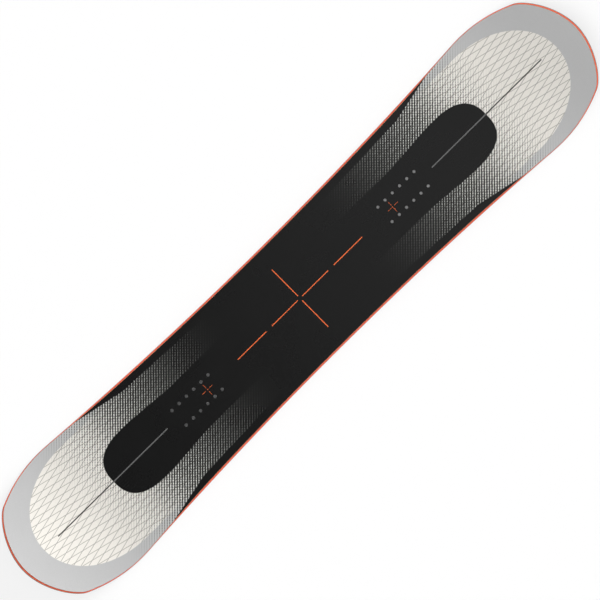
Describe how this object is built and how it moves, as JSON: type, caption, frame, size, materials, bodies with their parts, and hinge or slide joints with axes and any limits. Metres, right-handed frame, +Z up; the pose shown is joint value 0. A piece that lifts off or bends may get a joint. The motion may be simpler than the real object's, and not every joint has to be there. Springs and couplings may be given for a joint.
{
  "type": "snowboard",
  "caption": "Bare twin-tip snowboard deck with sidecut, upturned nose and tail, steel edges, bevelled sidewalls and two rectangular packs of threaded binding inserts.",
  "frame": {"origin": "middle of the board's underside, on the plane that its steel edges and base rest on", "axes": "+X along the board to the nose, +Y across it to the heel side, +Z up from the base to the topsheet"},
  "size_m": [1.5308, 0.291, 0.0443],
  "materials": {
    "running_base": "satin",
    "edge_steel": "ground",
    "edge_rubber": "matte",
    "glass_laminate": "gloss",
    "softwood_core": "sanded",
    "hardwood_core": "sanded",
    "sidewall": "satin",
    "tip_spacer": "satin",
    "printed_topsheet": "satin",
    "insert_steel": "turned"
  },
  "bodies": {
    "root": {"base_sheet": "running_base", "steel_edge_toe": "edge_steel", "steel_edge_heel": "edge_steel", "edge_foil_toe": "edge_rubber", "edge_foil_heel": "edge_rubber", "bottom_glass": "glass_laminate", "top_glass": "glass_laminate", "core_centre_stringer": "softwood_core", "core_toe_insert_stringer": "hardwood_core", "core_heel_insert_stringer": "hardwood_core", "core_toe_stringer_1": "softwood_core", "core_toe_stringer_2": "softwood_core", "core_toe_stringer_3": "softwood_core", "core_toe_stringer_4": "softwood_core", "core_heel_stringer_1": "softwood_core", "core_heel_stringer_2": "softwood_core", "core_heel_stringer_3": "softwood_core", "core_heel_stringer_4": "softwood_core", "sidewall_toe": "sidewall", "sidewall_heel": "sidewall", "tip_spacer_nose": "tip_spacer", "tip_spacer_tail": "tip_spacer", "topsheet": "printed_topsheet", "insert_nose_toe_1": "insert_steel", "insert_nose_toe_2": "insert_steel", "insert_nose_toe_3": "insert_steel", "insert_nose_toe_4": "insert_steel", "insert_nose_toe_5": "insert_steel", "insert_nose_toe_6": "insert_steel", "insert_nose_heel_1": "insert_steel", "insert_nose_heel_2": "insert_steel", "insert_nose_heel_3": "insert_steel", "insert_nose_heel_4": "insert_steel", "insert_nose_heel_5": "insert_steel", "insert_nose_heel_6": "insert_steel", "insert_tail_toe_1": "insert_steel", "insert_tail_toe_2": "insert_steel", "insert_tail_toe_3": "insert_steel", "insert_tail_toe_4": "insert_steel", "insert_tail_toe_5": "insert_steel", "insert_tail_toe_6": "insert_steel", "insert_tail_heel_1": "insert_steel", "insert_tail_heel_2": "insert_steel", "insert_tail_heel_3": "insert_steel", "insert_tail_heel_4": "insert_steel", "insert_tail_heel_5": "insert_steel", "insert_tail_heel_6": "insert_steel"}
  },
  "joints": []
}
